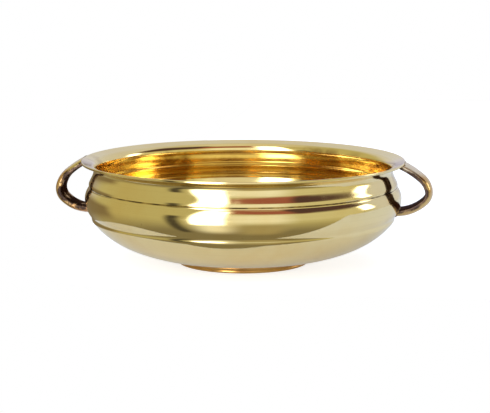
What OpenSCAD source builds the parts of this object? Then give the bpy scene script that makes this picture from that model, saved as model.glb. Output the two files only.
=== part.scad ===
// Brass urli: a wide, shallow bowl with a flared lip, a ridged wall, two loop handles and a low
// foot ring. It stands on the XY plane with +Z up. The origin is the centre of the resting face
// under the foot ring, on the bowl's turning axis, and the handles lie along X.

/* [Bowl] */
// Outside diameter of the rim
rim_d = 305; // [298:1:316]
// Height of the rim's top above the resting face
height = 98; // [95:1:103]
// Outside diameter of the neck, the narrowest place under the lip
neck_d = 282; // [278:1:286]
// Outside diameter of the narrow land that separates the upper band from the belly
land_d = 291.2; // [289:0.2:293]
// Outside diameter of the belly at its widest
belly_d = 298.8; // [297:0.2:303]
// Outside diameter of the low ring under the belly
ring_d = 286.4; // [283:0.2:288]
// Diameter of the flat middle of the base
base_flat_d = 90; // [70:1:100]
// Thickness of the wall
wall_t = 2.2; // [1.6:0.1:2.8]
// Slope of the lip above level, in degrees
lip_slope = 17; // [12:1:22]
// Radius that breaks the two corners of the rim
rim_round = 0.7; // [0.4:0.1:1]
// Width and depth of the turned line in the land
line_size = [1.5, 0.7]; // [0.4:0.1:1.5]

/* [Foot ring] */
// Outside diameter of the foot ring
foot_d = 124; // [118:1:130]
// Height of the foot ring at its outer face
foot_h = 5.5; // [5:0.1:7]
// Width of the foot ring's section
foot_w = 4.6; // [3.5:0.1:6]
// Radius of the foot ring's lower outer corner
foot_round = 1.1; // [0.5:0.1:1.4]

/* [Handles] */
// Width of both handle bars, along the rim
bar_w = 25; // [18:0.5:28]
// Thickness of both bars, from the flat inner face to the crown
bar_t = 7; // [6:0.1:8.5]
// How much of that thickness is the rounded crown
bar_crown = 5; // [2:0.1:5]
// Slope of both bars below level where they leave the rim, in degrees
root_slope = 26; // [22:1:30]
// Radius of the right handle's crown in its four bends, from the lip down
right_bend_r = [88, 24, 16, 42]; // [14:1:95]
// Radius of the left handle's crown in its four bends, from the lip down
left_bend_r = [92, 28, 17, 39]; // [14:1:95]
// Slope of both bars below level at the end of each bend, in degrees
bend_slope = [40, 75, 137, 174]; // [35:1:176]

/* [Brazing] */
// How far the brazing metal stands out round a bar
braze_t = 0.9; // [0.5:0.1:1.3]
// How far the brazing metal runs along a bar
braze_run = 1.6; // [1:0.1:2.5]
// Leg of the brazed fillet inside the foot ring
braze_leg = 1.6; // [1:0.1:2.2]

/* [Hidden] */
$fn = 96;

brass = [0.80, 0.68, 0.38];
foot_brass = [0.71, 0.50, 0.25];
handle_brass = [0.42, 0.33, 0.20];
braze_brass = [0.55, 0.44, 0.26];

rim_r = rim_d / 2;
neck_r = neck_d / 2;
land_r = land_d / 2;
belly_r = belly_d / 2;
ring_r = ring_d / 2;
foot_r = foot_d / 2;

// Heights of the bowl's outer features
base_z = foot_h - 1.1;
ring_z = 43.8;
belly_z = 62.6;
land_z = 74.2;
neck_z = height - 9.4;

// Heights at which the lip's upper and lower faces would meet the rim's edge if it were sharp
rim_top_z = height + rim_round * (tan(lip_slope) + 1 / cos(lip_slope) - 1);
rim_under_z = rim_top_z - wall_t / cos(lip_slope);

// Anchors of the bowl's outer face, from the edge of the flat base up to the lip. Each is
// [radius, height, heading, steps]: the heading is the way up the wall, in degrees above
// outward, and steps is how many pieces the curve that arrives there is drawn with.
anchors = [
    [base_flat_d / 2, base_z, 0, 1],
    [foot_r, foot_h, 7, 4],
    [ring_r - 1.3, ring_z - 3.1, 52, 22],
    [ring_r, ring_z, 90, 6],
    [ring_r + 1.2, ring_z + 3.4, 52, 6],
    [belly_r, belly_z, 90, 12],
    [belly_r - 3.3, belly_z + 9.6, 127, 9],
    [land_r, land_z - 0.8, 90, 5],
    [land_r, land_z + 0.8, 90, 1],
    [land_r - 0.7, land_z + 3.8, 116, 5],
    [neck_r, neck_z, 90, 8],
    [neck_r + 3.5, neck_z + 4.8, lip_slope, 10],
    [rim_r, rim_under_z, lip_slope, 1],
];

bends = len(bend_slope);

// Length of bar that is left at each end to be cut back to the bowl
stub = 10;

// Largest angle between two places on a bend
bend_step = 8;

// Height between the two places where a handle meets the bowl
handle_mid_z = 74;

// Air over the rim that the bowl's envelope takes in
head_room = 20;

// ---------- outlines ----------

function heading(a) = [cos(a), sin(a)];
function point(a) = [a[0], a[1]];
function reversed(list) = [for (i = [len(list) - 1:-1:0]) list[i]];
function all_but_last(list) = [for (i = [0:len(list) - 2]) list[i]];

// An arc of radius r about c, between two angles
function arc(c, r, from, to) = [for (i = [0:5]) c + r * heading(from + (to - from) * i / 5)];

// A smooth curve from anchor p to anchor q, without its first point
function curve(p, q) =
    let (a = point(p), d = point(q), reach = norm(d - a) / 3,
         b = a + reach * heading(p[2]), c = d - reach * heading(q[2]))
    [for (i = [1:q[3]])
        let (t = i / q[3], s = 1 - t)
        s * s * s * a + 3 * s * s * t * b + 3 * s * t * t * c + t * t * t * d];

outer_face = concat([point(anchors[0])],
                    [for (i = [1:len(anchors) - 1]) each curve(anchors[i - 1], anchors[i])]);

// The unit vector out of the wall at point i of the outer face
function wall_normal(i) =
    let (last = len(outer_face) - 1,
         way = outer_face[min(i + 1, last)] - outer_face[max(i - 1, 0)])
    [way[1], -way[0]] / norm(way);

// The outer face moved out of the wall by d, or into it where d is negative. It stops short of
// the rim, and its first point stays over the edge of the flat base.
function moved_face(d) =
    [for (i = [0:len(outer_face) - 2])
        outer_face[i] + d * (i == 0 ? [0, -1] : wall_normal(i))];

// ---------- bowl ----------

// Everything inside the bowl's outer face, grown by d, with the air over its mouth
module envelope(d = 0) {
    roof = height + head_room;
    rim_z = rim_under_z + d * (tan(lip_slope) - 1 / cos(lip_slope));
    rotate_extrude()
        polygon(concat([[0, roof], [0, base_z - d]], moved_face(d),
                       [[rim_r + d, rim_z], [rim_r + d, roof]]));
}

// The V-shaped line that is turned round the land
module turned_line() {
    half = line_size[0] / 2;
    depth = line_size[1];
    mouth = half * (depth + 1) / depth;
    polygon([[land_r - depth, land_z], [land_r + 1, land_z - mouth],
             [land_r + 1, land_z + mouth]]);
}

module bowl_section() {
    rim_x = rim_r - rim_round;
    under_z = rim_under_z + rim_round * (1 / cos(lip_slope) - tan(lip_slope));
    difference() {
        polygon(concat(
            [[0, base_z]],
            all_but_last(outer_face),
            arc([rim_x, under_z], rim_round, lip_slope - 90, 0),
            arc([rim_x, height - rim_round], rim_round, 0, lip_slope + 90),
            reversed(moved_face(-wall_t)),
            [[0, base_z + wall_t]]));
        turned_line();
    }
}

module bowl() {
    color(brass)
        rotate_extrude()
            bowl_section();
}

// ---------- foot ring ----------

// The ring's section is taller than the ring, whose top is cut to the bowl's underside
module foot_ring_section() {
    inside = foot_r - foot_w;
    bevel = foot_round / 2;
    line = 0.4;
    polygon(concat(
        [[inside, foot_h + wall_t], [inside, bevel], [inside + bevel, 0]],
        arc([foot_r - foot_round, foot_round], foot_round, -90, 0),
        [[foot_r, foot_h / 2 - line], [foot_r - line, foot_h / 2],
         [foot_r, foot_h / 2 + line], [foot_r, foot_h + wall_t]]));
}

module foot_ring() {
    color(foot_brass)
        difference() {
            rotate_extrude()
                foot_ring_section();
            envelope();
        }
}

module foot_ring_braze() {
    wall = foot_r - foot_w;
    color(braze_brass)
        difference() {
            rotate_extrude()
                polygon([[wall, base_z - braze_leg], [wall, foot_h],
                         [wall - 2 * braze_leg, foot_h], [wall - braze_leg, base_z]]);
            envelope();
        }
}

// ---------- handles ----------

// Both bars are drawn on the right, and the left one is then turned round. The crown of a bar
// runs from the rim down through bends of the radii r. A slope is in degrees below level, going
// away from the rim.
function slope_at(i) = i == 0 ? root_slope : bend_slope[i - 1];
function out_of(slope) = [sin(slope), cos(slope)];
function along(slope) = [cos(slope), -sin(slope)];
function bend_start(r, i) =
    i == 0 ? [rim_r, height] : bend_centre(r, i - 1) + r[i - 1] * out_of(slope_at(i));
function bend_centre(r, i) = bend_start(r, i) - r[i] * out_of(slope_at(i));

// Places along the crown, each as [point, slope]: a stub at each end that runs into the bowl,
// and a place every few degrees of each bend
function stations(r) = concat(
    [[bend_start(r, 0) - stub * along(root_slope), root_slope]],
    [for (i = [0:bends - 1])
        let (turn = slope_at(i + 1) - slope_at(i), steps = ceil(turn / bend_step))
        for (k = [0:steps - 1])
            let (slope = slope_at(i) + turn * k / steps)
            [bend_centre(r, i) + r[i] * out_of(slope), slope]],
    [[bend_start(r, bends), slope_at(bends)],
     [bend_start(r, bends) + stub * along(slope_at(bends)), slope_at(bends)]]);

// Section of a bar, as [height over the crown, distance along the rim]: a rounded crown and a
// flat inner face. Its sides and inner face grow by side, and its crown by top.
function bar_section(side, top) =
    let (half = bar_w / 2 + side, bevel = 0.8, inner = -bar_t - side)
    concat([for (a = [-90:22.5:90])
               [(bar_crown + top) * cos(a) - bar_crown, half * sin(a)]],
           [[inner + bevel, half], [inner, half - bevel],
            [inner, bevel - half], [inner + bevel, -half]]);

// A bar with bends of the radii r, swept along its stations
module bar(r, side = 0, top = 0) {
    section = bar_section(side, top);
    path = stations(r);
    sides = len(section);
    rings = len(path);
    points = [for (s = path, p = section)
        let (out = out_of(s[1]))
        [s[0][0] + p[0] * out[0], p[1], s[0][1] + p[0] * out[1]]];
    skin = [for (i = [0:rings - 2], j = [0:sides - 1])
        let (a = i * sides + j, b = i * sides + (j + 1) % sides)
        each [[a, b, a + sides], [b, b + sides, a + sides]]];
    first_end = reversed([for (j = [0:sides - 1]) j]);
    last_end = [for (j = [0:sides - 1]) (rings - 1) * sides + j];
    polyhedron(points, concat(skin, [first_end, last_end]));
}

module handle(r) {
    color(handle_brass)
        difference() {
            bar(r);
            envelope();
        }
}

// Half of the space round the handles: over handle_mid_z, or under it
module half_space(over) {
    reach = 2 * rim_r;
    translate([0, -reach / 2, over ? handle_mid_z : handle_mid_z - reach])
        cube(reach);
}

// Brazing metal round the bar where it meets the bowl. At the top joint it is finished just
// under the crown, and at the bottom one it goes all round.
module handle_braze(r, over) {
    color(braze_brass)
        difference() {
            intersection() {
                bar(r, braze_t, over ? -braze_t / 2 : braze_t);
                envelope(braze_run);
                half_space(over);
            }
            bar(r);
            envelope();
        }
}

module left() {
    rotate(180)
        children();
}

bowl();
foot_ring();
foot_ring_braze();
left() handle(left_bend_r);  // left_handle
handle(right_bend_r);  // right_handle
left() handle_braze(left_bend_r, true);  // left_handle_top_braze
left() handle_braze(left_bend_r, false);  // left_handle_bottom_braze
handle_braze(right_bend_r, true);  // right_handle_top_braze
handle_braze(right_bend_r, false);  // right_handle_bottom_braze
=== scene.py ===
"""A brass urli bowl on a pale studio floor.

Lengths are metres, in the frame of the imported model: the bowl turns about Z, its foot stands
on Z = 0 and its handles lie along X. The camera looks along +Y from a little to the right.
"""

from collections import namedtuple
import math

import bpy
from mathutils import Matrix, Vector, noise


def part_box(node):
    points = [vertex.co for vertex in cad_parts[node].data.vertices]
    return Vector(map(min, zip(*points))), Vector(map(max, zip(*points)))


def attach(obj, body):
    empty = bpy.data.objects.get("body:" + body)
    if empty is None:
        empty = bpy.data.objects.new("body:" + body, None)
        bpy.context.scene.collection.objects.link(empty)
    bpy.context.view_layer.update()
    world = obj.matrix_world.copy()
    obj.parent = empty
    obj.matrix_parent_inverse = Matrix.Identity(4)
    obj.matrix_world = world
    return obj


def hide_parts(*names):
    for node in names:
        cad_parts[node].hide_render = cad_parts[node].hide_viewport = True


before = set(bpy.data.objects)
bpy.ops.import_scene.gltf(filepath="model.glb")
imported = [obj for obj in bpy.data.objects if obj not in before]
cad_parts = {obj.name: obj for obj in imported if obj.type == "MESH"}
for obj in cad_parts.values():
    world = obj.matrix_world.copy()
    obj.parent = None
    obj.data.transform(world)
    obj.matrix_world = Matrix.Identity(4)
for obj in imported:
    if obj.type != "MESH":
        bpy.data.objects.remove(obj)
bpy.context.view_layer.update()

MM = 0.001

# ---------- sizes ----------

BOWL_LOW, BOWL_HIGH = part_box("bowl")
_, FOOT_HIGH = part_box("foot_ring")

RIM_R = BOWL_HIGH.x
HEIGHT = BOWL_HIGH.z
BASE_Z = BOWL_LOW.z
FOOT_R = FOOT_HIGH.x
FOOT_H = 5.5 * MM
FOOT_WIDTH = 4.6 * MM
NECK_R = 141.0 * MM
LAND_R = 145.6 * MM
BELLY_R = 149.4 * MM
RING_R = 143.2 * MM
FLAT_R = 45.0 * MM

WALL = 2.2 * MM
LIP_SLOPE = 17.0
RIM_ROUND = 0.7 * MM
LINE_HALF_WIDTH = 0.75 * MM
LINE_DEPTH = 0.7 * MM

RING_Z = 43.8 * MM
BELLY_Z = 62.6 * MM
LAND_Z = 74.2 * MM
NECK_Z = HEIGHT - 9.4 * MM

BAR_WIDTH = 25.0 * MM
BAR_THICK = 7.0 * MM
BAR_CROWN = 5.0 * MM
ROOT_SLOPE = 26.0
BEND_SLOPES = [40.0, 75.0, 137.0, 174.0]

# Each handle: its name, its turn about Z in degrees, the radii of its four bends from the lip
# down, and the seed of its unevenness.
Bar = namedtuple("Bar", "name turn radii seed")
BARS = [
    Bar("left_handle", 180.0, [92.0 * MM, 28.0 * MM, 17.0 * MM, 39.0 * MM], 5.1),
    Bar("right_handle", 0.0, [88.0 * MM, 24.0 * MM, 16.0 * MM, 42.0 * MM], 11.3),
]


# ---------- outlines ----------

def heading(degrees):
    """The unit vector that points so many degrees above outward."""
    a = math.radians(degrees)
    return Vector((math.cos(a), math.sin(a)))


def lip_under_z():
    """Height at which the underside of the lip would meet the rim's edge if it were sharp."""
    a = math.radians(LIP_SLOPE)
    top = HEIGHT + RIM_ROUND * (math.tan(a) + 1 / math.cos(a) - 1)
    return top - WALL / math.cos(a)


# Anchors of the bowl's outer face, from the edge of the flat base up to the lip: radius,
# height, heading of the wall in degrees above outward, and pieces of curve up to here.
ANCHORS = [
    (FLAT_R, BASE_Z, 0, 1),
    (FOOT_R, FOOT_H, 7, 6),
    (RING_R - 1.3 * MM, RING_Z - 3.1 * MM, 52, 44),
    (RING_R, RING_Z, 90, 14),
    (RING_R + 1.2 * MM, RING_Z + 3.4 * MM, 52, 14),
    (BELLY_R, BELLY_Z, 90, 24),
    (BELLY_R - 3.3 * MM, BELLY_Z + 9.6 * MM, 127, 18),
    (LAND_R, LAND_Z - 0.8 * MM, 90, 8),
    (LAND_R, LAND_Z + 0.8 * MM, 90, 4),
    (LAND_R - 0.7 * MM, LAND_Z + 3.8 * MM, 116, 8),
    (NECK_R, NECK_Z, 90, 16),
    (NECK_R + 3.5 * MM, NECK_Z + 4.8 * MM, LIP_SLOPE, 18),
    (RIM_R, lip_under_z(), LIP_SLOPE, 10),
]


def curve(p, q):
    """A smooth curve from anchor p to anchor q, without its first point."""
    a = Vector(p[:2])
    d = Vector(q[:2])
    reach = (d - a).length / 3
    b = a + reach * heading(p[2])
    c = d - reach * heading(q[2])
    points = []
    for i in range(1, q[3] + 1):
        t = i / q[3]
        s = 1 - t
        points.append(s**3 * a + 3 * s * s * t * b + 3 * s * t * t * c + t**3 * d)
    return points


def arc(centre, radius, start, end, steps):
    return [centre + radius * heading(start + (end - start) * i / steps) for i in range(steps + 1)]


def outer_face():
    points = [Vector(ANCHORS[0][:2])]
    for p, q in zip(ANCHORS, ANCHORS[1:]):
        points += curve(p, q)
    return points


def wall_normal(points, i):
    """The unit vector out of the wall at point i of the outer face."""
    way = points[min(i + 1, len(points) - 1)] - points[max(i - 1, 0)]
    return Vector((way.y, -way.x)).normalized()


def moved_face(points, d):
    """The outer face moved out of the wall by d, stopping short of the rim."""
    moved = [points[0] + Vector((0, -d))]
    moved += [points[i] + d * wall_normal(points, i) for i in range(1, len(points) - 1)]
    return moved


def with_turned_line(points):
    """The outer face with the V-shaped line turned in its land."""
    low = LAND_Z - LINE_HALF_WIDTH
    high = LAND_Z + LINE_HALF_WIDTH
    below = [p for p in points if p.y < low - 0.05 * MM]
    above = [p for p in points if p.y > high + 0.05 * MM]
    flank = [(0.0, 1.0), (0.12, 0.9), (0.92, 0.12)]
    shape = [(d, -w) for d, w in flank] + [(1.0, 0.0)] + list(reversed(flank))
    line = [Vector((LAND_R - d * LINE_DEPTH, LAND_Z + w * LINE_HALF_WIDTH)) for d, w in shape]
    return below + line + above


def bowl_section():
    """The bowl's outline from its axis outside, over the rim, and back to its axis inside."""
    face = outer_face()
    slope = math.radians(LIP_SLOPE)
    under = lip_under_z() + RIM_ROUND * (1 / math.cos(slope) - math.tan(slope))
    rim_x = RIM_R - RIM_ROUND
    steps = 24
    base = [Vector((FLAT_R * i / steps, BASE_Z)) for i in range(steps)]
    floor = [p + Vector((0, WALL)) for p in reversed(base)]
    return (
        base
        + with_turned_line(face[:-1])
        + arc(Vector((rim_x, under)), RIM_ROUND, LIP_SLOPE - 90, 0, 6)
        + arc(Vector((rim_x, HEIGHT - RIM_ROUND)), RIM_ROUND, 0, LIP_SLOPE + 90, 6)
        + list(reversed(moved_face(face, -WALL)))
        + floor
    )


# ---------- mesh tools ----------

def piece(name, verts, faces, material):
    """A smooth mesh object that rides on the model's one body."""
    mesh = bpy.data.meshes.new(name)
    mesh.from_pydata(verts, [], faces)
    mesh.update()
    mesh.shade_smooth()
    mesh.materials.append(material)
    obj = bpy.data.objects.new(name, mesh)
    bpy.context.scene.collection.objects.link(obj)
    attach(obj, "root")
    return obj


def store(obj, name, values):
    """Keeps one number per vertex for the material to read."""
    attribute = obj.data.attributes.new(name, "FLOAT", "POINT")
    attribute.data.foreach_set("value", values)


def lengths_along(section):
    total = [0.0]
    for a, b in zip(section, section[1:]):
        total.append(total[-1] + (b - a).length)
    return total


def hand_made(radius, z, angle, amount, seed):
    """How far a hand-finished wall wanders from true, at most about amount."""
    ring = Vector((math.cos(angle), math.sin(angle), 0)) * 2.6
    slow = noise.noise(ring + Vector((seed, seed, z * 14)))
    quick = noise.noise(ring * 2.7 + Vector((seed, -seed, z * 40)))
    return amount * (0.7 * slow + 0.3 * quick) * min(1.0, radius / FOOT_R)


def base_dish(radius, angle, seed):
    """How far the flat middle of a turned base wanders up or down, at most about 0.2 mm."""
    flat = Vector((radius * math.cos(angle), radius * math.sin(angle), seed))
    fade = max(0.0, 1 - (radius / FOOT_R) ** 2)
    return 0.28 * MM * fade * noise.noise(flat * 26)


def lathe(name, section, segments, material, wander, seed, closed=False):
    """Turns a section about Z. Its wall wanders by up to wander, the same inside and out."""
    verts, faces, lengths = [], [], []
    rows = []
    for p, s in zip(section, lengths_along(section)):
        on_axis = p.x < 1e-9
        rows.append(list(range(len(verts), len(verts) + (1 if on_axis else segments))))
        for k in range(len(rows[-1])):
            a = 2 * math.pi * k / segments
            r = 0.0 if on_axis else p.x + hand_made(p.x, p.y, a, wander, seed)
            z = p.y + (0.0 if closed else base_dish(r, a, seed))
            verts.append((r * math.cos(a), r * math.sin(a), z))
            lengths.append(s)
    pairs = list(zip(rows, rows[1:]))
    if closed:
        pairs.append((rows[-1], rows[0]))
    for low, high in pairs:
        for k in range(segments):
            n = (k + 1) % segments
            if len(low) == 1:
                faces.append((low[0], high[n], high[k]))
            elif len(high) == 1:
                faces.append((low[k], low[n], high[0]))
            else:
                faces.append((low[k], low[n], high[n], high[k]))
    obj = piece(name, verts, faces, material)
    store(obj, "along_wall", lengths)
    return obj


# ---------- handles ----------

def out_of(slope):
    """The unit vector square out of a bar that runs so many degrees below level."""
    a = math.radians(slope)
    return Vector((math.sin(a), math.cos(a)))


def along(slope):
    """The unit vector down a bar that runs so many degrees below level."""
    a = math.radians(slope)
    return Vector((math.cos(a), -math.sin(a)))


def bar_stations(bar):
    """Places along a bar's crown, drawn at +X, each as (point in XZ, slope below level)."""
    stub = 10 * MM
    start = Vector((RIM_R, HEIGHT))
    stations = [(start - along(ROOT_SLOPE) * stub * (1 - i / 6), ROOT_SLOPE) for i in range(6)]
    slope = ROOT_SLOPE
    for radius, end in zip(bar.radii, BEND_SLOPES):
        centre = start - radius * out_of(slope)
        steps = math.ceil((end - slope) / 2.5)
        for i in range(steps):
            here = slope + (end - slope) * i / steps
            stations.append((centre + radius * out_of(here), here))
        start = centre + radius * out_of(end)
        slope = end
    stations += [(start + along(slope) * stub * i / 6, slope) for i in range(7)]
    return stations


def bar_section():
    """A bar's outline as (height over the crown, distance along the rim, share of polish)."""
    half = BAR_WIDTH / 2
    crown_steps = 24
    points = []
    for i in range(crown_steps + 1):
        a = math.radians(-90 + 180 * i / crown_steps)
        rise = BAR_CROWN * (math.cos(a) ** 0.85 - 1)
        points.append((rise, half * math.sin(a), 1 + rise / BAR_CROWN))
    corner = 1.0 * MM
    corner_steps = 4
    inner = -BAR_THICK
    side = [(-BAR_CROWN - 0.6 * MM, half, 0.0)]
    for i in range(corner_steps + 1):
        a = math.radians(90 * i / corner_steps)
        side.append((inner + corner * (1 - math.sin(a)), half - corner * (1 - math.cos(a)), 0.0))
    floor = [(inner - 0.15 * MM, half * (0.6 - 0.3 * i), 0.0) for i in range(5)]
    return points + side + floor + [(h, -w, p) for h, w, p in reversed(side)]


def bar_point(bar, station, h, w):
    """A point on a bar, as it came from the mould: a little uneven all over."""
    point, slope = station
    out = out_of(slope)
    x = point.x + h * out.x
    z = point.y + h * out.y
    slow = noise.noise(Vector((x * 60 + bar.seed, w * 60, z * 60)))
    quick = noise.noise(Vector((x * 210, w * 210 + bar.seed, z * 210)))
    uneven = 0.12 * MM * slow + 0.03 * MM * quick
    return Vector((x + uneven * out.x, w * (1 + 0.02 * slow), z + uneven * out.y))


def envelope_radius(face, z):
    """Radius of the outer face at height z, or the rim's radius above it."""
    if z >= face[-1].y:
        return RIM_R
    for a, b in zip(reversed(face[:-1]), reversed(face[1:])):
        if min(a.y, b.y) <= z <= max(a.y, b.y) and abs(b.y - a.y) > 1e-9:
            return a.x + (b.x - a.x) * (z - a.y) / (b.y - a.y)
    return 0.0


def outside(face, p):
    """How far the point p lies outside the bowl's envelope."""
    return math.hypot(p.x, p.y) - envelope_radius(face, p.z)


def turned(p, turn):
    """The point p turned about the bowl's axis by turn degrees."""
    a = math.radians(turn)
    return Vector((p.x * math.cos(a) - p.y * math.sin(a), p.x * math.sin(a) + p.y * math.cos(a), p.z))


def cutter(sink):
    """A solid wedge of the bowl's envelope at +X, its face sunk into the wall."""
    face = moved_face(outer_face(), -sink)
    core = RIM_R / 2
    edge = RIM_R - sink
    roof = HEIGHT + 20 * MM
    section = [Vector((core, BASE_Z))] + [p for p in face if p.x > core]
    section += [Vector((edge, face[-1].y)), Vector((edge, roof)), Vector((core, roof))]
    steps = 16
    reach = math.radians(9)
    verts, faces = [], []
    n = len(section)
    for k in range(steps + 1):
        a = -reach + 2 * reach * k / steps
        verts += [(p.x * math.cos(a), p.x * math.sin(a), p.y) for p in section]
    for k in range(steps):
        for i in range(n):
            j = (i + 1) % n
            faces.append((k * n + i, (k + 1) * n + i, (k + 1) * n + j, k * n + j))
    faces.append(tuple(range(n)))
    faces.append(tuple(steps * n + i for i in reversed(range(n))))
    mesh = bpy.data.meshes.new("cutter")
    mesh.from_pydata(verts, [], faces)
    obj = bpy.data.objects.new("cutter", mesh)
    bpy.context.scene.collection.objects.link(obj)
    return obj


def bake_cut(obj, tool):
    """Cuts tool out of obj and keeps the result as obj's mesh."""
    cut = obj.modifiers.new("cut", "BOOLEAN")
    cut.operation = "DIFFERENCE"
    cut.solver = "EXACT"
    cut.object = tool
    bpy.context.view_layer.update()
    done = obj.evaluated_get(bpy.context.evaluated_depsgraph_get())
    mesh = bpy.data.meshes.new_from_object(done)
    obj.modifiers.clear()
    obj.data = mesh


def make_handle(bar, material):
    stations = bar_stations(bar)
    section = bar_section()
    n = len(section)
    verts, polish = [], []
    for s in stations:
        for h, w, p in section:
            verts.append(bar_point(bar, s, h, w))
            polish.append(p)
    faces = []
    for i in range(len(stations) - 1):
        for j in range(n):
            k = (j + 1) % n
            faces.append((i * n + j, i * n + k, (i + 1) * n + k, (i + 1) * n + j))
    faces.append(tuple(reversed(range(n))))
    faces.append(tuple((len(stations) - 1) * n + j for j in range(n)))
    obj = piece(bar.name, verts, faces, material)
    store(obj, "polish", polish)
    tool = cutter(0.3 * MM)
    bake_cut(obj, tool)
    bpy.data.objects.remove(tool)
    for v in obj.data.vertices:
        v.co = turned(v.co, bar.turn)
    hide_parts(bar.name)
    return obj


def joint_loop(bar, at_top):
    """The closed line where a bar meets the bowl, at its top or its bottom."""
    face = outer_face()
    stations = bar_stations(bar)
    if not at_top:
        stations.reverse()
    loop = []
    for h, w, _ in bar_section():
        before = bar_point(bar, stations[0], h, w)
        for s in stations[1:]:
            after = bar_point(bar, s, h, w)
            d0 = outside(face, before)
            d1 = outside(face, after)
            if d0 < 0 <= d1:
                loop.append(before.lerp(after, d0 / (d0 - d1)))
                break
            before = after
    return loop


def resampled(loop, spacing):
    """The closed loop with its points evenly spaced."""
    ends = loop[1:] + loop[:1]
    total = sum((b - a).length for a, b in zip(loop, ends))
    count = round(total / spacing)
    step = total / count
    points, walked, wanted = [], 0.0, 0.0
    for a, b in zip(loop, ends):
        length = (b - a).length
        while wanted < walked + length and len(points) < count:
            points.append(a.lerp(b, (wanted - walked) / length))
            wanted += step
        walked += length
    return points


def make_bead(bar, at_top, material):
    """An uneven bead of brazing metal round one joint of a handle."""
    path = resampled(joint_loop(bar, at_top), 0.5 * MM)
    count = len(path)
    around = 10
    verts, faces = [], []
    for i in range(count):
        p = path[i]
        ahead = (path[(i + 1) % count] - path[i - 1]).normalized()
        across = ahead.cross(Vector((1, 0, 0))).normalized()
        other = ahead.cross(across)
        lump = noise.noise(p * 420 + Vector((bar.seed, 0, 0)))
        flush = min(1.0, max(0.0, (HEIGHT - p.z) / (3 * MM)))
        radius = (0.35 + 0.4 * flush + 0.25 * lump) * MM
        for k in range(around):
            a = 2 * math.pi * k / around
            skin = p + radius * (math.cos(a) * across + math.sin(a) * other)
            verts.append(turned(skin, bar.turn))
    for i in range(count):
        for k in range(around):
            a = i * around
            b = (i + 1) % count * around
            m = (k + 1) % around
            faces.append((a + k, b + k, b + m, a + m))
    name = bar.name + ("_top_braze" if at_top else "_bottom_braze")
    obj = piece(name, verts, faces, material)
    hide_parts(name)
    return obj


# ---------- foot ring ----------

def foot_ring_section():
    """A plain ring with rounded lower corners and a fine line turned round its middle."""
    corner = 1.1 * MM
    inner_corner = 0.6 * MM
    line = 0.4 * MM
    inside = FOOT_R - FOOT_WIDTH
    top = FOOT_H + 0.4 * MM
    return (
        [Vector((inside, top)), Vector((inside, 0.9 * MM))]
        + arc(Vector((inside + inner_corner, inner_corner)), inner_corner, 180, 270, 5)
        + arc(Vector((FOOT_R - corner, corner)), corner, -90, 0, 8)
        + [
            Vector((FOOT_R, FOOT_H / 2 - line)),
            Vector((FOOT_R - 0.6 * line, FOOT_H / 2 - 0.3 * line)),
            Vector((FOOT_R - 0.6 * line, FOOT_H / 2 + 0.3 * line)),
            Vector((FOOT_R, FOOT_H / 2 + line)),
            Vector((FOOT_R, FOOT_H - 0.5 * MM)),
            Vector((FOOT_R - 0.35 * MM, top)),
        ]
    )


def foot_braze_section():
    """A hollow fillet between the inside of the foot ring and the base."""
    leg = 1.6 * MM
    wall = FOOT_R - FOOT_WIDTH + 0.2 * MM
    under = BASE_Z + 0.55 * MM
    root = Vector((wall, under + 0.4 * MM))
    steps = 6
    face = []
    for i in range(steps + 1):
        t = i / steps
        bow = 0.2 * leg * math.sin(math.pi * t)
        face.append(Vector((wall - leg * t + bow, under - leg * (1 - t) + bow)))
    return [root] + list(reversed(face))


# ---------- materials ----------

class Shader:
    """Short calls that add nodes to one node tree."""

    def __init__(self, tree):
        self.tree = tree
        self.tree.nodes.clear()

    def put(self, socket, value):
        if isinstance(value, bpy.types.NodeSocket):
            self.tree.links.new(value, socket)
        else:
            socket.default_value = value

    def add(self, kind, inputs=None, **settings):
        node = self.tree.nodes.new(kind)
        for key, value in settings.items():
            setattr(node, key, value)
        for key, value in (inputs or {}).items():
            self.put(node.inputs[key], value)
        return node

    def math(self, operation, a, b=0.0, clamp=False):
        node = self.add("ShaderNodeMath", {0: a, 1: b}, operation=operation, use_clamp=clamp)
        return node.outputs[0]

    def times(self, a, b):
        return self.math("MULTIPLY", a, b)

    def spread(self, value, low, high, to_low=0.0, to_high=1.0):
        """Value from low to high becomes to_low to to_high, with soft ends."""
        node = self.add(
            "ShaderNodeMapRange",
            {"Value": value, "From Min": low, "From Max": high, "To Min": to_low, "To Max": to_high},
            interpolation_type="SMOOTHSTEP",
        )
        return node.outputs["Result"]

    def vector(self, x, y, z):
        return self.add("ShaderNodeCombineXYZ", {"X": x, "Y": y, "Z": z}).outputs[0]

    def noise(self, place, scale, detail, rough):
        node = self.add(
            "ShaderNodeTexNoise",
            {"Vector": place, "Scale": scale, "Detail": detail, "Roughness": rough},
        )
        return node.outputs[0]

    def blend(self, share, a, b):
        node = self.add("ShaderNodeMix", data_type="RGBA")
        self.put(node.inputs[0], share)
        self.put(node.inputs[6], a)
        self.put(node.inputs[7], b)
        return node.outputs[2]

    def bump(self, height, distance, under=None):
        node = self.add("ShaderNodeBump", {"Height": height, "Distance": distance, "Strength": 1.0})
        if under is not None:
            self.put(node.inputs["Normal"], under)
        return node.outputs[0]

    def attribute(self, name):
        return self.add("ShaderNodeAttribute", attribute_name=name).outputs["Fac"]

    def place(self):
        return self.add("ShaderNodeTexCoord").outputs["Object"]

    def parts(self, place):
        node = self.add("ShaderNodeSeparateXYZ", {0: place})
        return node.outputs[0], node.outputs[1], node.outputs[2]

    def distance_to(self, place, point):
        node = self.add("ShaderNodeVectorMath", {0: place, 1: point}, operation="DISTANCE")
        return node.outputs["Value"]


def new_material(name):
    material = bpy.data.materials.new(name)
    material.use_nodes = True
    return material, Shader(material.node_tree)


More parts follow.
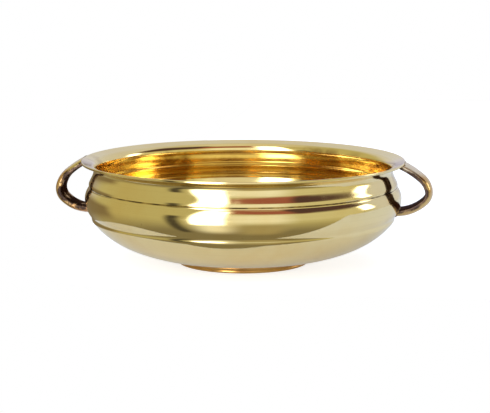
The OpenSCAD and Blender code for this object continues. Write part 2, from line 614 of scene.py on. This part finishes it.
def finish_material(shader, **sockets):
    """One metal shader with these sockets, wired to the output."""
    metal = shader.add("ShaderNodeBsdfPrincipled", {"Metallic": 1.0})
    for name, value in sockets.items():
        shader.put(metal.inputs[name.replace("_", " ")], value)
    shader.add("ShaderNodeOutputMaterial", {"Surface": metal.outputs[0]})


WHITE = (1, 1, 1, 1)

# Colours of metal. Clean and warm are polished brass. The gold used inside the bowl is painted
# reflection of the brass in itself, and the pale on a handle's root is painted reflection of the
# light. The rest are worn, cast or stained; the dull by the foot, the brown in the turned line and
# the foot's reds also paint shade.
CLEAN = (0.89, 0.745, 0.40, 1)
WARM = (0.84, 0.63, 0.27, 1)
REFLECTED_GOLD = (0.94, 0.755, 0.34, 1)
DULL = (0.52, 0.36, 0.15, 1)
BROWN = (0.10, 0.062, 0.032, 1)
BROWNED = (0.36, 0.22, 0.09, 1)
FOOT_RED = (0.62, 0.36, 0.115, 1)
FOOT_DARK = (0.48, 0.25, 0.075, 1)
LEFT_CROWN = (0.86, 0.68, 0.33, 1)
RIGHT_CROWN = (0.70, 0.49, 0.21, 1)
COPPER = (0.62, 0.31, 0.13, 1)
PAINTED_PALE_REFLECTION = (0.90, 0.83, 0.72, 1)
SKIN_DARK = (0.052, 0.034, 0.030, 1)
SKIN_LIGHT = (0.095, 0.060, 0.042, 1)
SKIN_SHEEN = (0.34, 0.28, 0.26, 1)
BRAZE_LIGHT = (0.42, 0.27, 0.11, 1)


def round_the_bowl(shader, place):
    """Where on the unit circle a place lies, x and y, and how far along the wall. No seam."""
    x, y, _ = shader.parts(place)
    flat = shader.vector(x, y, 0.0)
    ring = shader.add("ShaderNodeVectorMath", {0: flat}, operation="NORMALIZE").outputs[0]
    rx, ry, _ = shader.parts(ring)
    return rx, ry, shader.attribute("along_wall")


def turning_marks(shader, place, spacing):
    """Fine lines left by the lathe and the polishing wheel, from 0 to 1."""
    rx, ry, s = round_the_bowl(shader, place)
    slowly = 0.4
    stretched = shader.vector(
        shader.times(rx, slowly), shader.times(ry, slowly), shader.times(s, 1 / spacing)
    )
    return shader.noise(stretched, 1.0, 4.0, 0.62)


# Browned patches inside the bowl: where, how far each reaches, and how strong it is
INSIDE_PATCHES = [
    ((-0.085, 0.112, 0.066), 0.019, 0.95),
    ((0.062, 0.127, 0.066), 0.030, 0.85),
    ((0.100, 0.098, 0.078), 0.014, 0.45),
    ((-0.030, 0.138, 0.060), 0.022, 0.35),
    ((0.040, -0.134, 0.070), 0.030, 0.60),
    ((-0.095, -0.104, 0.064), 0.026, 0.70),
]


def near_point(shader, place, point, smears):
    """Distance to a point, with a ragged edge."""
    near = shader.distance_to(place, point)
    return shader.math("ADD", near, shader.spread(smears, 0.3, 0.7, -0.006, 0.006))


def brown_patches(shader, place, smears, inside, colour):
    """Browned patches on the wall inside."""
    for centre, reach, strength in INSIDE_PATCHES:
        near = near_point(shader, place, centre, smears)
        patch = shader.spread(near, reach + 0.008, reach - 0.008, 0.0, strength)
        colour = shader.blend(shader.times(patch, inside), colour, BROWNED)
    return colour


def line_residue_and_shade(shader, z, radius, smears, colour):
    """Dark residue and painted shade in the turned line."""
    off_line = shader.math("ABSOLUTE", shader.math("SUBTRACT", z, LAND_Z))
    in_line = shader.times(
        shader.spread(radius, LAND_R - 1.5 * MM, LAND_R - 1.2 * MM),
        shader.spread(radius, LAND_R + 0.1 * MM, LAND_R - 0.3 * MM),
    )
    residue_and_shade = shader.times(in_line, shader.spread(off_line, 1.0 * MM, 0.5 * MM))
    residue_and_shade = shader.times(residue_and_shade, shader.spread(smears, 0.38, 0.62, 0.25, 0.8))
    return shader.blend(residue_and_shade, colour, BROWN)


def dull_by_handles(shader, place, smears, colour):
    """The wall behind each handle, where the polishing wheel does not reach."""
    for side in (-1, 1):
        near = near_point(shader, place, (side * (RIM_R - 6 * MM), 0.0, 0.079), smears)
        colour = shader.blend(shader.spread(near, 0.022, 0.013, 0.0, 0.55), colour, DULL)
    return colour


def worn_base(shader, middle, under, waves, lines, smears, colour):
    """Stains under the base, and rings turned in its flat middle."""
    stained = shader.spread(smears, 0.3, 0.7, 0.35, 0.8)
    colour = shader.blend(shader.times(under, stained), colour, BROWNED)
    wide_rings = shader.spread(waves, 0.35, 0.65, 0.0, 0.30)
    fine_rings = shader.spread(lines, 0.4, 0.7, 0.0, 0.25)
    ringed = shader.math("ADD", wide_rings, fine_rings)
    return shader.blend(shader.times(middle, ringed), colour, DULL)


def brass_material(inside_from):
    """Polished brass. The wall inside the bowl starts inside_from along the turned section."""
    material, shader = new_material("polished_brass")
    place = shader.place()
    x, y, z = shader.parts(place)
    radius = shader.math("SQRT", shader.math("ADD", shader.times(x, x), shader.times(y, y)))
    lines = turning_marks(shader, place, 1.6 * MM)
    waves = turning_marks(shader, place, 9.0 * MM)
    hairs = turning_marks(shader, place, 0.5 * MM)
    clouds = shader.noise(place, 16.0, 4.0, 0.6)
    spots = shader.noise(place, 260.0, 3.0, 0.6)
    smears = shader.noise(place, 55.0, 3.0, 0.65)

    tarnish = shader.spread(clouds, 0.42, 0.72, 0.0, 0.55)
    past_rim = shader.attribute("along_wall")
    inside = shader.spread(past_rim, inside_from + 8 * MM, inside_from + 18 * MM)
    middle = shader.spread(radius, FOOT_R, FLAT_R * 0.8)
    under = shader.times(middle, shader.spread(z, BASE_Z + 1.5 * MM, BASE_Z + 0.8 * MM))

    colour = shader.blend(tarnish, CLEAN, WARM)
    colour = shader.blend(shader.spread(spots, 0.70, 0.76, 0.0, 0.5), colour, DULL)
    # Painted reflection: inside the bowl the brass is deeper gold, for the brass reflecting itself.
    painted_inside_reflection = shader.times(inside, shader.spread(clouds, 0.75, 0.35, 0.5, 1.0))
    colour = shader.blend(painted_inside_reflection, colour, REFLECTED_GOLD)
    colour = brown_patches(shader, place, smears, inside, colour)
    # Painted shade: the underside darkens towards the foot ring.
    painted_shade_by_foot = shader.spread(radius, FOOT_R + 7 * MM, FOOT_R + 0.5 * MM, 0.0, 0.75)
    colour = shader.blend(painted_shade_by_foot, colour, DULL)
    # Residue and painted shade darken the turned line.
    colour = line_residue_and_shade(shader, z, radius, smears, colour)
    colour = dull_by_handles(shader, place, smears, colour)
    colour = shader.blend(shader.spread(hairs, 0.55, 0.75, 0.0, 0.22), colour, DULL)
    colour = worn_base(shader, middle, under, waves, lines, smears, colour)

    rough = shader.spread(lines, 0.25, 0.75, 0.035, 0.10)
    rough = shader.math("ADD", rough, shader.times(inside, 0.03))
    rough = shader.math("ADD", rough, shader.spread(smears, 0.52, 0.78, 0.0, 0.08))
    rough = shader.math("ADD", rough, shader.times(tarnish, 0.08))
    rough = shader.math("ADD", rough, shader.times(under, 0.16))
    rough = shader.math("ADD", rough, shader.times(middle, 0.05))

    depth = shader.math("ADD", 0.001 * MM, shader.times(middle, 0.015 * MM))
    normal = shader.bump(waves, 0.02 * MM)
    normal = shader.bump(shader.times(lines, depth), 1.0, under=normal)
    finish_material(shader, Base_Color=colour, Roughness=rough, Normal=normal)
    return material


def foot_material():
    material, shader = new_material("turned_foot_brass")
    place = shader.place()
    lines = turning_marks(shader, place, 0.9 * MM)
    clouds = shader.noise(place, 30.0, 4.0, 0.6)
    _, _, z = shader.parts(place)
    seam = shader.spread(z, FOOT_H - 0.9 * MM, FOOT_H - 0.1 * MM)
    worn = shader.spread(z, 0.9 * MM, 0.2 * MM)
    # The red-brown is partly the foot's own finish and partly painted shade, for the shaded floor it
    # reflects.
    colour = shader.blend(shader.spread(clouds, 0.35, 0.7), FOOT_RED, FOOT_DARK)
    colour = shader.blend(shader.times(seam, 0.9), colour, BROWN)
    colour = shader.blend(shader.times(worn, 0.6), colour, CLEAN)
    rough = shader.spread(lines, 0.2, 0.8, 0.20, 0.36)
    normal = shader.bump(lines, 0.02 * MM)
    finish_material(shader, Base_Color=colour, Roughness=rough, Normal=normal)
    return material


def handle_material():
    """Dark cast skin, polished along the crown and rubbed in places on the sides, with painted pale
    reflection on the right handle's root.
    """
    material, shader = new_material("cast_handle_brass")
    place = shader.place()
    grain = shader.noise(place, 900.0, 4.0, 0.6)
    blotches = shader.noise(place, 95.0, 4.0, 0.65)
    patches = shader.noise(place, 38.0, 2.0, 0.5)
    x, _, z = shader.parts(place)

    on_left = shader.spread(x, 0.01, -0.01)
    on_right = shader.math("SUBTRACT", 1.0, on_left)
    at_root = shader.spread(z, HEIGHT - 15 * MM, HEIGHT - 7 * MM)
    right_root = shader.times(at_root, on_right)
    left_bend = shader.times(
        shader.times(on_left, shader.spread(z, 40 * MM, 50 * MM)),
        shader.spread(z, HEIGHT - 12 * MM, HEIGHT - 18 * MM),
    )

    # How far the polish comes down from the crown, with a ragged edge
    ragged = shader.spread(blotches, 0.3, 0.7, -0.3, 0.3)
    ragged = shader.times(ragged, shader.spread(x, -0.01, 0.01, 1.0, 0.45))
    edge = shader.math("ADD", shader.attribute("polish"), ragged)
    edge = shader.math("ADD", edge, shader.times(left_bend, 0.20))
    edge = shader.math("ADD", edge, shader.times(on_right, 0.20))
    rubbed = shader.spread(edge, 0.25, 0.6)

    copper = shader.spread(patches, 0.45, 0.65, 0.0, 0.45)
    below_left_root = shader.times(on_left, shader.math("SUBTRACT", 1.0, at_root))
    copper = shader.math("ADD", copper, shader.times(below_left_root, 0.5), clamp=True)
    copper = shader.times(copper, shader.math("SUBTRACT", 1.0, right_root))

    bright = shader.blend(on_right, LEFT_CROWN, RIGHT_CROWN)
    bright = shader.blend(copper, bright, COPPER)
    # Painted reflection: the right handle's root is paled like the light on the lip.
    bright = shader.blend(shader.times(right_root, 0.8), bright, PAINTED_PALE_REFLECTION)
    bright = shader.blend(shader.spread(grain, 0.5, 0.8, 0.0, 0.5), bright, DULL)
    skin = shader.blend(shader.spread(blotches, 0.35, 0.7), SKIN_DARK, SKIN_LIGHT)
    colour = shader.blend(rubbed, skin, bright)
    sheen = shader.blend(rubbed, SKIN_SHEEN, WHITE)

    rough = shader.spread(rubbed, 0.0, 1.0, 0.42, 0.15)
    rough = shader.math("ADD", rough, shader.times(right_root, 0.14))
    rough = shader.math("ADD", rough, shader.times(left_bend, 0.16))
    rough = shader.math("ADD", rough, shader.spread(grain, 0.4, 0.8, 0.0, 0.08))
    normal = shader.bump(grain, 0.05 * MM)
    normal = shader.bump(blotches, 0.15 * MM, under=normal)
    finish_material(shader, Base_Color=colour, Specular_Tint=sheen, Roughness=rough, Normal=normal)
    return material


def braze_material():
    material, shader = new_material("brazing_metal")
    place = shader.place()
    grain = shader.noise(place, 700.0, 4.0, 0.6)
    blotches = shader.noise(place, 220.0, 3.0, 0.6)
    colour = shader.blend(shader.spread(blotches, 0.3, 0.7), BROWN, BRAZE_LIGHT)
    rough = shader.spread(grain, 0.3, 0.7, 0.35, 0.6)
    normal = shader.bump(grain, 0.12 * MM)
    finish_material(shader, Base_Color=colour, Roughness=rough, Normal=normal)
    return material


# ---------- the object ----------

BOWL_STEPS = 288
FOOT_STEPS = 192
BOWL_SEED = 3.7
FOOT_SEED = 8.2
FOOT_BRAZE_SEED = 1.9

section = bowl_section()
rim_at = max(range(len(section)), key=lambda i: section[i].y)
brass = brass_material(lengths_along(section)[rim_at])
foot_brass = foot_material()
handle_brass = handle_material()
braze = braze_material()

bowl = lathe("bowl", section, BOWL_STEPS, brass, 0.16 * MM, BOWL_SEED)
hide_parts("bowl")

section = foot_ring_section()
foot = lathe(
    "foot_ring", section, FOOT_STEPS, foot_brass, 0.05 * MM, FOOT_SEED, closed=True
)
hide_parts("foot_ring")

section = foot_braze_section()
foot_bead = lathe(
    "foot_ring_braze", section, FOOT_STEPS, braze, 0.25 * MM, FOOT_BRAZE_SEED, closed=True
)
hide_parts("foot_ring_braze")

for bar in BARS:
    make_handle(bar, handle_brass)
    make_bead(bar, True, braze)
    make_bead(bar, False, braze)


# ---------- studio ----------

def floor_sheet():
    """A pale sheet under the bowl. Seen from below it is clear, so the foot can be looked at."""
    material, shader = new_material("pale_floor")
    seen = shader.add("ShaderNodeLightPath").outputs["Is Camera Ray"]
    strength = shader.math("ADD", 0.28, shader.times(seen, 0.5))
    paper = shader.add("ShaderNodeBsdfDiffuse", {"Color": (0.54, 0.54, 0.55, 1)})
    glow = shader.add("ShaderNodeEmission", {"Color": (1.0, 1.0, 1.0, 1), "Strength": strength})
    lit = shader.add("ShaderNodeAddShader", {0: paper.outputs[0], 1: glow.outputs[0]})
    clear = shader.add("ShaderNodeBsdfTransparent")
    under = shader.add("ShaderNodeNewGeometry").outputs["Backfacing"]
    both = shader.add("ShaderNodeMixShader", {0: under, 1: lit.outputs[0], 2: clear.outputs[0]})
    shader.add("ShaderNodeOutputMaterial", {"Surface": both.outputs[0]})

    left, front, right, back = -0.19, -0.137, 1.6, 1.6
    corner = 0.10
    outline = arc(Vector((left + corner, front + corner)), corner, 180, 270, 12)
    outline += [Vector((right, front)), Vector((right, back)), Vector((left, back))]
    mesh = bpy.data.meshes.new("floor")
    mesh.from_pydata([(p.x, p.y, 0) for p in outline], [], [tuple(range(len(outline)))])
    mesh.materials.append(material)
    floor = bpy.data.objects.new("floor", mesh)
    bpy.context.scene.collection.objects.link(floor)


# Soft panels round the studio: way (degrees right of the camera's side), height above level,
# half width, half height, softness, how far the top and bottom drop per degree to the right,
# and colour.
PANELS = [
    (168, 22, 56, 40, 14, 0.0, (0.68, 0.69, 0.74)),
    (-162, 0, 18, 9, 6, 0.0, (0.80, 0.82, 1.15)),
    (62, 12, 46, 24, 12, 0.0, (0.66, 0.63, 0.42)),
    (14, 10, 26, 26, 12, 0.0, (0.95, 0.97, 0.92)),
    (30, 49, 34, 11, 4, 0.15, (0.36, 0.12, 0.09)),
    (82, 46, 32, 16, 6, 0.15, (0.09, 0.05, 0.05)),
    (-140, -8, 36, 14, 8, 0.0, (0.24, 0.19, 0.11)),
    (-44, -16, 5, 34, 4, 0.0, (0.08, 0.07, 0.05)),
    (24, -40, 18, 18, 10, 0.0, (0.42, 0.37, 0.22)),
    (-14, -28, 13, 22, 12, 0.0, (1.00, 1.00, 0.92)),
    (-18, 18, 11, 38, 5, 0.0, (7.0, 7.0, 7.0)),
    (110, 17, 6, 9, 3, 0.0, (5.0, 5.0, 5.0)),
]


def room():
    """A studio room for the brass to reflect. The camera itself sees a plain pale backdrop."""
    world = bpy.data.worlds.new("studio")
    bpy.context.scene.world = world
    world.use_nodes = True
    shader = Shader(world.node_tree)
    way = shader.add("ShaderNodeTexCoord").outputs["Generated"]
    x, y, z = shader.parts(way)
    height = shader.times(shader.math("ARCSINE", z), 180 / math.pi)
    turn = shader.times(shader.math("ARCTAN2", x, shader.times(y, -1.0)), 180 / math.pi)

    wall = (0.54, 0.50, 0.27, 1)
    ground = (0.24, 0.21, 0.13, 1)
    overhead = (0.75, 0.72, 0.62, 1)
    cool_fill = (0.32, 0.42, 0.62, 1)
    colour = shader.blend(shader.spread(height, -50.0, -4.0), ground, wall)
    colour = shader.blend(shader.spread(height, 50.0, 80.0), colour, overhead)

    for azimuth, level, half_w, half_h, soft, drop, tint in PANELS:
        aside = shader.add(
            "ShaderNodeMath",
            {0: shader.math("SUBTRACT", turn, azimuth), 1: -180.0, 2: 180.0},
            operation="WRAP",
        ).outputs[0]
        across = shader.math("ABSOLUTE", aside)
        middle = shader.math("SUBTRACT", level, shader.times(aside, drop))
        above = shader.math("ABSOLUTE", shader.math("SUBTRACT", height, middle))
        mask = shader.times(
            shader.spread(across, half_w + soft, half_w - soft),
            shader.spread(above, half_h + soft, half_h - soft),
        )
        colour = shader.blend(mask, colour, tint + (1,))

    ray = shader.add("ShaderNodeLightPath").outputs
    colour = shader.blend(ray["Is Diffuse Ray"], colour, cool_fill)
    colour = shader.blend(ray["Is Camera Ray"], colour, WHITE)
    background = shader.add("ShaderNodeBackground", {"Color": colour, "Strength": 1.0})
    shader.add("ShaderNodeOutputWorld", {"Surface": background.outputs[0]})


def top_light():
    """A wide soft lamp above and behind the bowl. The brass does not reflect it."""
    place = Vector((0.1, 0.3, 1.5))
    target = Vector((0, 0, 0.05))
    lamp = bpy.data.lights.new("top_light", "AREA")
    lamp.shape = "RECTANGLE"
    lamp.size = 1.6
    lamp.size_y = 1.6
    lamp.energy = 8.0
    obj = bpy.data.objects.new("top_light", lamp)
    obj.location = place
    obj.rotation_euler = (target - place).to_track_quat("-Z", "Y").to_euler()
    obj.visible_glossy = False
    bpy.context.scene.collection.objects.link(obj)


def camera():
    """Low and a little to the right, as far off as a short telephoto lens needs."""
    distance = 1.57
    rise = math.radians(9.17)
    swing = math.radians(8.0)
    target = Vector((0, 0, 0.045))
    back = Vector((
        math.cos(rise) * math.sin(swing),
        -math.cos(rise) * math.cos(swing),
        math.sin(rise),
    ))
    right = Vector((math.cos(swing), math.sin(swing), 0))
    lens = bpy.data.cameras.new("camera")
    lens.lens = 121.5
    lens.sensor_width = 36.0
    lens.clip_start, lens.clip_end = 0.05, 30.0
    obj = bpy.data.objects.new("camera", lens)
    framing = right * 0.0017 + back.cross(right) * 0.0074
    obj.location = target + back * distance + framing
    obj.rotation_euler = (-back).to_track_quat("-Z", "Y").to_euler()
    bpy.context.scene.collection.objects.link(obj)
    bpy.context.scene.camera = obj


floor_sheet()
room()
top_light()
camera()
bpy.context.scene.view_settings.view_transform = "Standard"
bpy.context.scene.cycles.glossy_bounces = 12
